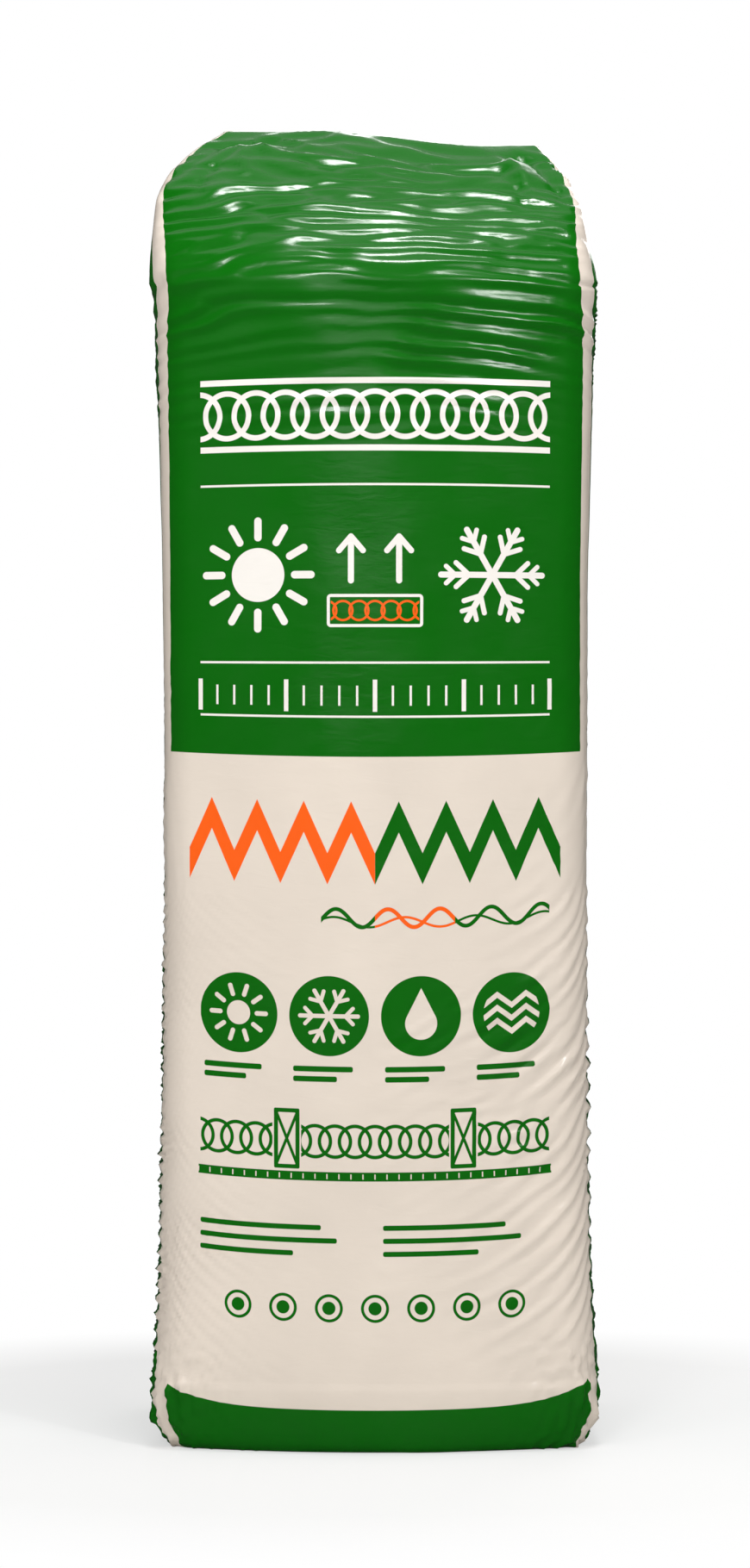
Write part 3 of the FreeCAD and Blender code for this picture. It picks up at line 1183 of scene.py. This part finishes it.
@dataclass(frozen=True)
class PrintedFilm:
    """Glossy polyethylene, printed green, cream, white and orange."""

    name: str = "printed_film"
    green: tuple = (0.0020, 0.120, 0.0020, 1.0)
    cream: tuple = (0.715, 0.630, 0.545, 1.0)
    white: tuple = (0.830, 0.790, 0.740, 1.0)
    orange: tuple = (0.900, 0.110, 0.006, 1.0)
    roughness: float = 0.22
    index: float = 1.50
    waver: float = 0.0016
    crinkle: float = 0.0010

    def material(self, girth: float, art: Print) -> bpy.types.Material:
        """Builds the film's nodes.

        Args:
            girth: The distance around the film.
            art: What is printed on it.

        Returns:
            The finish.
        """
        finish, tree, shader = new_finish(self.name)
        place = tree.nodes.new("ShaderNodeUVMap")
        place.uv_map = "film"
        split = add_node(tree, "SeparateXYZ", Vector=place.outputs["UV"])
        around, up = Field(tree, split.outputs["X"]), Field(tree, split.outputs["Y"])
        sheet = Sheet(around.wrap(girth / 4), up)
        far = abs(sheet.x) + (self._cloud(tree, 40.0, 2.0) * self.waver - self.waver / 2)
        on_face = far - art.field_half
        upper = (up * -1.0 + art.change) & on_face
        lower = (up - art.band) & on_face
        side = far * -1.0 + (art.field_half + art.stripe)
        green_ink = (art.green(sheet) & on_face & (up - art.change)).inked()
        green = (upper | lower | side).inked().math("MAXIMUM", green_ink)
        colour = self._ink(tree, green, self.cream, self.green)
        colour = self._ink(tree, (art.white(sheet) & upper).inked(), colour, self.white)
        colour = self._ink(tree, (art.orange(sheet) & on_face).inked(), colour, self.orange)
        shade = add_node(tree, "HueSaturation", Value=self._cloud(tree, 9.0, 3.0) * 0.16 + 0.92, Color=colour)
        tree.links.new(shade.outputs["Color"], shader.inputs["Base Color"])
        gloss = self._cloud(tree, 26.0, 4.0) * 0.16 + (self.roughness - 0.08)
        tree.links.new(gloss.socket, shader.inputs["Roughness"])
        shader.inputs["IOR"].default_value = self.index
        shader.inputs["Specular IOR Level"].default_value = 0.5
        tree.links.new(self._relief(tree, around, up), shader.inputs["Normal"])
        return finish

    def _cloud(self, tree: bpy.types.NodeTree, scale: float, detail: float) -> Field:
        """Cloudy noise over the solid form of the pack.

        Args:
            tree: The material's nodes.
            scale: How fine it is.
            detail: How many finer layers it has.

        Returns:
            The noise, from 0 to 1.
        """
        place = add_node(tree, "TexCoord").outputs["Object"]
        noise = add_node(tree, "TexNoise", Scale=scale, Detail=detail, Vector=place)
        return Field(tree, noise.outputs["Fac"])

    def _ink(self, tree: bpy.types.NodeTree, share: Field, below: Union[tuple, bpy.types.NodeSocket],
             ink: tuple) -> bpy.types.NodeSocket:
        """Lays one ink over what is below it.

        Args:
            tree: The material's nodes.
            share: 1 where the ink is.
            below: The colour below.
            ink: The ink's colour.

        Returns:
            The colours together.
        """
        node = tree.nodes.new("ShaderNodeMix")
        node.data_type = "RGBA"
        for name, value in (("Factor", share), ("A", below), ("B", ink)):
            feed(tree, node.inputs[name], value)
        return node.outputs["Result"]

    def _relief(self, tree: bpy.types.NodeTree, around: Field, up: Field) -> bpy.types.NodeSocket:
        """Fine crinkle of the film, finer than its mesh.

        Args:
            tree: The material's nodes.
            around: Distance around the film.
            up: Distance up the film.

        Returns:
            The bent normal.
        """
        place = add_node(tree, "CombineXYZ", X=around * 34.0, Y=up * 95.0)
        noise = add_node(tree, "TexNoise", Scale=1.0, Detail=3.0, Roughness=0.45, Distortion=0.6,
                         Vector=place.outputs[0])
        bump = add_node(tree, "Bump", Strength=0.30, Distance=self.crinkle, Height=noise.outputs["Fac"])
        return bump.outputs["Normal"]


@dataclass(frozen=True)
class GlassWool:
    """Squeezed brown-yellow glass fibre."""

    name: str = "glass_wool"
    dark: tuple = (0.340, 0.205, 0.075, 1.0)
    light: tuple = (0.720, 0.520, 0.260, 1.0)
    fibre: tuple = (18.0, 160.0, 18.0)
    ramp: tuple = (0.30, 0.72)

    def material(self) -> bpy.types.Material:
        """Builds the wool's nodes: layered fibres that lie flat in each batt.

        Returns:
            The finish.
        """
        finish, tree, shader = new_finish(self.name)
        place = add_node(tree, "TexCoord").outputs["Object"]
        stretch = add_node(tree, "Mapping", Scale=self.fibre, Vector=place)
        fibre = add_node(tree, "TexNoise", Scale=2.2, Detail=8.0, Distortion=1.4,
                         Vector=stretch.outputs["Vector"]).outputs["Fac"]
        ramp = add_node(tree, "ValToRGB", Fac=fibre)
        for stop, place, colour in zip(ramp.color_ramp.elements, self.ramp, (self.dark, self.light)):
            stop.position, stop.color = place, colour
        tree.links.new(ramp.outputs["Color"], shader.inputs["Base Color"])
        shader.inputs["Roughness"].default_value = 0.95
        shader.inputs["Sheen Weight"].default_value = 0.25
        bump = add_node(tree, "Bump", Strength=0.8, Distance=0.002, Height=fibre)
        tree.links.new(bump.outputs["Normal"], shader.inputs["Normal"])
        return finish


@dataclass(frozen=True)
class HoodSlack:
    """How slack the film is over the top: lengths in metres, slack as a share of the film's own length."""

    starts: float = 1.12
    free_from: tuple = (1.148, 1.176)
    held_at_weld: float = 0.012
    hood_from: tuple = (1.140, 1.205)
    gather_reach: tuple = (0.17, 0.26)
    taut_at: float = 0.224
    taut_width: float = 0.022
    around: tuple = (0.003, 0.005, 0.065)
    up: tuple = (0.006, 0.050, 0.040)
    stiffness: tuple = (0.060, 0.18)
    inward: tuple = (0.0012, 0.010)
    proud: tuple = (0.0025, 0.0055, 0.003)


@dataclass
class FilmBag:
    """The printed bag: its form, its relief and its print."""

    form: PackForm
    finish: PrintedFilm = field(default_factory=PrintedFilm)
    slack: HoodSlack = field(default_factory=HoodSlack)
    name: str = "film_bag"
    field_reach: float = 0.2160
    stands_off: float = 0.0004
    lowest: float = 0.0003
    foot_room: float = 0.9
    pull: tuple = ((0.0, 5.0), (0.3, 8.0), (0.5, 8.2), (0.66, 7.2), (0.74, 4.0), (0.82, 0.5), (0.94, -1.0),
                   (1.2, -4.0))
    foot_pull: float = 19.0

    def build(self) -> bpy.types.Object:
        """Makes the bag's mesh, with its relief and its print coordinates.

        Returns:
            The bag.
        """
        points, around, up = self.form.surface()
        around_grid, up_grid = np.meshgrid(around, up)
        wrinkles = Wrinkles(around_grid, up_grid, self.form.girth, self.field_reach,
                            float(up.max()) - self.form.fin_length)
        lift = wrinkles.lift()
        foot = 1 - smooth_step(up_grid, 0.08, 0.18)
        over_wool = np.maximum(lift, (foot - 1.0) * MM)
        lift = np.where(up_grid < 1.16, over_wool, lift) + foot * self.foot_room * MM
        lift *= smooth_step(up_grid, -0.20, -0.02)
        outward = self._normals(points)
        film = points + outward * (lift + self.stands_off)[:, :, None]
        film = self._settle_hood(points, outward, film, around_grid, up_grid)
        film += outward * wrinkles.tucks()[:, :, None]
        film[:, :, 2] = np.maximum(film[:, :, 2], self.lowest)
        mesh = self._mesh(film)
        self._lay_print(mesh, self.form.printed_place(points), up_grid)
        bag = bpy.data.objects.new(self.name, mesh)
        bpy.context.scene.collection.objects.link(bag)
        bag.data.materials.append(self.finish.material(self.form.girth, Print(self.field_reach)))
        return bag

    def _settle_hood(self, points: np.ndarray, outward: np.ndarray, film: np.ndarray, around: np.ndarray,
                     up: np.ndarray) -> np.ndarray:
        """Runs the cloth over the top of the bag, where the film is slack.

        Args:
            points: The smooth form.
            outward: The form's normals.
            film: The film with its ripples, where the cloth starts.
            around: Distance around the film.
            up: Distance up the film.

        Returns:
            The film, settled.
        """
        slack, ways, girth = self.slack, self.form.levels["way"], self.form.girth
        first, last = int(np.searchsorted(ways, slack.starts)), len(ways) - self.form.fin_rows - 1
        part = slice(first, last)
        height = self.form.levels["height"][part][:, None] + around[part] * 0
        hood = smooth_step(height, *slack.hood_from)
        from_side = np.abs(np.abs(around[part]) - girth / 4)
        gather = 1 - smooth_step(from_side, *slack.gather_reach)
        taut = np.exp(-((np.abs(from_side) - girth / 4 + slack.taut_at) / slack.taut_width) ** 2)
        body_around, hood_around, side_around = slack.around
        body_up, hood_up, taut_up = slack.up
        soft, stiff = slack.stiffness
        slack_around = body_around + hood * (hood_around + side_around * gather)
        slack_up = body_up + hood * (hood_up - taut_up * taut)
        cloth = SlackFilm(points[part], outward[part], slack_around, slack_up, soft + stiff * taut)
        free = smooth_step(up[part], *slack.free_from)
        free *= 1 - smooth_step(up[part], ways[last] - slack.held_at_weld, ways[last])
        inward = slack.inward[0] + hood * slack.inward[1]
        body_proud, hood_proud, side_less = slack.proud
        proud = body_proud + hood * (hood_proud - side_less * gather)
        film = film.copy()
        film[part] = cloth.settle(film[part], inward, proud, free)
        return film

    def _normals(self, points: np.ndarray) -> np.ndarray:
        """Outward directions at the points of a grid that closes around the pack.

        Args:
            points: The grid, rows by columns.

        Returns:
            A direction of length 1 for each point.
        """
        across = np.roll(points, -1, axis=1) - np.roll(points, 1, axis=1)
        along = np.gradient(points, axis=0)
        normals = np.cross(across, along)
        length = np.linalg.norm(normals, axis=2, keepdims=True)
        return normals / np.maximum(length, 1e-12)

    def _mesh(self, points: np.ndarray) -> bpy.types.Mesh:
        """Joins the grid into one closed mesh, zipped shut along the weld below and the end of the fin.

        Args:
            points: The grid, rows by columns.

        Returns:
            The mesh.
        """
        rows, columns, _ = points.shape
        index = np.arange(rows * columns).reshape(rows, columns)
        beside = np.roll(index, -1, axis=1)
        quads = np.stack([index[:-1], beside[:-1], beside[1:], index[1:]], axis=2).reshape(-1, 4)
        faces = quads.tolist()
        front = sum(Panel.FRONT.value)
        for row, flip in ((0, False), (rows - 1, True)):
            loop = index[row]
            near = np.concatenate([loop[-front:], loop[:front + 1]])
            far = loop[front:columns - front + 1][::-1]
            faces += self._zip(points.reshape(-1, 3), near, far, flip)
        mesh = bpy.data.meshes.new(self.name)
        mesh.from_pydata(points.reshape(-1, 3).tolist(), [], faces)
        mesh.validate()
        mesh.shade_smooth()
        mesh.update()
        return mesh

    def _zip(self, points: np.ndarray, near: np.ndarray, far: np.ndarray, flip: bool) -> list[list[int]]:
        """Triangles between two lines of points that run side by side and share both ends.

        Args:
            points: Where all points are.
            near: Indices of one line, left to right.
            far: Indices of the other, left to right.
            flip: Whether the triangles face the other way.

        Returns:
            The triangles.
        """
        faces: list[list[int]] = []
        i, j = 0, 0
        while i < len(near) - 1 or j < len(far) - 1:
            if j == len(far) - 1 or (i < len(near) - 1 and points[near[i + 1]][0] <= points[far[j + 1]][0]):
                triangle, i = [int(near[i]), int(far[j]), int(near[i + 1])], i + 1
            else:
                triangle, j = [int(near[i]), int(far[j]), int(far[j + 1])], j + 1
            if len(set(triangle)) == 3:
                faces.append(triangle[::-1] if flip else triangle)
        return faces

    def _lay_print(self, mesh: bpy.types.Mesh, around: np.ndarray, up: np.ndarray) -> None:
        """Gives each point its place on the print, pulled as the film was when the bag was filled.

        Args:
            mesh: The bag's mesh.
            around: Distance around the film at each point of the grid.
            up: Distance up the film at each point of the grid.
        """
        girth = self.form.girth
        reach = np.minimum(np.minimum(np.abs(around), girth / 2 - np.abs(around)) / 0.21, 1.08)
        heights, pulls = np.array(self.pull).T
        pull = np.interp(up, heights, pulls) * reach ** 2
        pull += self.foot_pull * np.exp(-(np.maximum(up, 0.0) - 0.04) / 0.12) * reach ** 6
        printed = up - pull * MM
        foot = 1 - smooth_step(up, 0.05, 0.15)
        around = around - foot * (0.0045 + 0.0025 * np.sin(up * 210) * (1 - smooth_step(up, 0.0, 0.09)))
        layer = mesh.uv_layers.new(name="film")
        corners = np.empty(len(mesh.loops), int)
        starts, totals = np.empty(len(mesh.polygons), int), np.empty(len(mesh.polygons), int)
        mesh.loops.foreach_get("vertex_index", corners)
        mesh.polygons.foreach_get("loop_start", starts)
        mesh.polygons.foreach_get("loop_total", totals)
        u, v = around.reshape(-1)[corners], printed.reshape(-1)[corners]
        low = np.minimum.reduceat(u, starts)[np.repeat(np.arange(len(starts)), totals)]
        u = np.where(u - low > girth / 2, u - girth, u)
        layer.data.foreach_set("uv", np.stack([u, v], axis=1).reshape(-1))


@dataclass
class WoolStack:
    """The squeezed batts inside the bag, which keep their solids."""

    nodes: dict
    finish: GlassWool = field(default_factory=GlassWool)

    def dress(self) -> list[bpy.types.Object]:
        """Gives every batt its finish.

        Returns:
            The batts.
        """
        wool = self.finish.material()
        batts = [node for name, node in sorted(self.nodes.items()) if name.startswith("batt_")]
        for batt in batts:
            batt.data.materials.clear()
            batt.data.materials.append(wool)
        return batts


@dataclass
class Lamp:
    """One soft rectangular lamp that looks at the pack."""

    name: str
    place: tuple[float, float, float]
    target: tuple[float, float, float]
    size: tuple[float, float]
    watts: float
    mirrored: bool = True

    def hang(self) -> None:
        """Adds the lamp to the scene."""
        data = bpy.data.lights.new(self.name, "AREA")
        data.shape = "RECTANGLE"
        data.size, data.size_y = self.size
        data.energy = self.watts
        lamp = bpy.data.objects.new(self.name, data)
        lamp.location = self.place
        lamp.visible_glossy = self.mirrored
        lamp.rotation_euler = (Vector(self.target) - Vector(self.place)).to_track_quat("-Z", "Y").to_euler()
        bpy.context.scene.collection.objects.link(lamp)


@dataclass
class Studio:
    """A pale floor, soft lamps and the camera."""

    eye_height: float = 0.669
    distance: float = 5.0
    lens: float = 109.9
    world_light: float = 0.30
    world_gloss: float = 0.03
    floor_half: float = 9.0
    floor_colour: tuple = (0.86, 0.86, 0.85, 1.0)
    floor_glow: tuple = (0.55, 1.0)

    def build(self) -> None:
        """Adds the floor, the world, the lamps and the camera."""
        self._floor()
        self._world()
        for lamp in (
            Lamp("left_soft", (-2.2, -3.4, 2.0), (0.0, 0.0, 0.65), (1.6, 1.6), 38.0, False),
            Lamp("top_fill", (0.0, -1.3, 3.2), (0.0, 0.0, 1.2), (1.6, 1.0), 11.0, False),
            Lamp("front_key", (-0.75, -3.7, 2.9), (0.0, 0.0, 0.95), (0.6, 0.30), 30.0),
            Lamp("right_strip", (1.75, -3.1, 2.5), (0.0, 0.0, 1.0), (0.20, 0.9), 34.0),
            Lamp("top_soft", (0.2, -0.8, 3.3), (0.0, 0.0, 1.2), (0.6, 0.3), 30.0),
            Lamp("sheen_card", (-0.35, -4.6, 1.9), (0.0, 0.0, 0.9), (1.3, 1.6), 6.0),
            Lamp("sky_card", (0.0, 1.0, 3.3), (0.0, 0.0, 1.3), (2.4, 2.4), 8.0),
            Lamp("back_fill", (0.6, 3.2, 2.4), (0.0, 0.0, 0.7), (2.2, 1.6), 40.0),
        ):
            lamp.hang()
        self._camera()
        bpy.context.scene.view_settings.view_transform = "Standard"

    def _floor(self) -> None:
        """A wide pale floor, whiter away from the pack, that gloss doesn't mirror."""
        half = self.floor_half
        mesh = bpy.data.meshes.new("floor")
        corners = [(-half, -half, 0), (half, -half, 0), (half, half, 0), (-half, half, 0)]
        mesh.from_pydata(corners, [], [(0, 1, 2, 3)])
        floor = bpy.data.objects.new("floor", mesh)
        bpy.context.scene.collection.objects.link(floor)
        finish, tree, shader = new_finish("pale_floor")
        shader.inputs["Base Color"].default_value = self.floor_colour
        shader.inputs["Roughness"].default_value = 0.7
        shader.inputs["Specular IOR Level"].default_value = 0.2
        glow = add_node(tree, "Emission", Strength=1.0)
        split = add_node(tree, "SeparateXYZ", Vector=add_node(tree, "TexCoord").outputs["Object"])
        sheet = Sheet(Field(tree, split.outputs["X"]), Field(tree, split.outputs["Y"]))
        least, most = self.floor_glow
        fade = (sheet.length() * 1.6 - 0.45).math("MINIMUM", most).math("MAXIMUM", least)
        seen = Field(tree, add_node(tree, "LightPath").outputs["Is Camera Ray"])
        self._blend(tree, fade * seen, shader, glow, tree.nodes["Material Output"])
        mesh.materials.append(finish)
        floor.visible_glossy = False

    def _world(self) -> None:
        """An even pale world, which the camera sees as white and gloss sees as nearly dark."""
        world = bpy.data.worlds.new("studio")
        bpy.context.scene.world = world
        world.use_nodes = True
        tree = world.node_tree
        light = tree.nodes["Background"]
        light.inputs["Color"].default_value = (1.0, 1.0, 1.0, 1.0)
        white = add_node(tree, "Background", Color=(1.0, 1.0, 1.0, 1.0))
        seen = add_node(tree, "LightPath")
        camera, gloss = Field(tree, seen.outputs["Is Camera Ray"]), Field(tree, seen.outputs["Is Glossy Ray"])
        self._blend(tree, camera, light, white, tree.nodes["World Output"])
        strength = gloss * (self.world_gloss - self.world_light) + self.world_light
        feed(tree, light.inputs["Strength"], strength)

    def _blend(self, tree: bpy.types.NodeTree, share: Field, low: bpy.types.Node, high: bpy.types.Node,
               output: bpy.types.Node) -> None:
        """Mixes two shaders into an output.

        Args:
            tree: The nodes.
            share: How much of the second shader shows.
            low: The first shader.
            high: The second shader.
            output: Where the mix goes.
        """
        mix = tree.nodes.new("ShaderNodeMixShader")
        for socket, value in zip(mix.inputs, (share, low.outputs[0], high.outputs[0])):
            feed(tree, socket, value)
        tree.links.new(mix.outputs[0], output.inputs["Surface"])

    def _camera(self) -> None:
        """A level camera straight in front of the pack."""
        data = bpy.data.cameras.new("camera")
        data.lens = self.lens
        camera = bpy.data.objects.new("camera", data)
        camera.location = (0.0, -self.distance, self.eye_height)
        camera.rotation_euler = (math.pi / 2, 0.0, 0.0)
        bpy.context.scene.collection.objects.link(camera)
        bpy.context.scene.camera = camera


def main() -> None:
    """Builds the bag, dresses the batts, lights the scene and logs the bag's face count and each dressed
    batt.
    """
    logging.basicConfig(level=logging.INFO, format="%(name)s: %(message)s")
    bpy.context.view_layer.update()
    low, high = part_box("bag")
    bag = FilmBag(PackForm(low, high)).build()
    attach(bag, "root")
    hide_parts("bag")
    LOG.info("%s: %d faces", bag.name, len(bag.data.polygons))
    for batt in WoolStack(frame["nodes"]).dress():
        LOG.info("%s: dressed", batt.name)
    Studio().build()


if __name__ == "__main__":
    main()
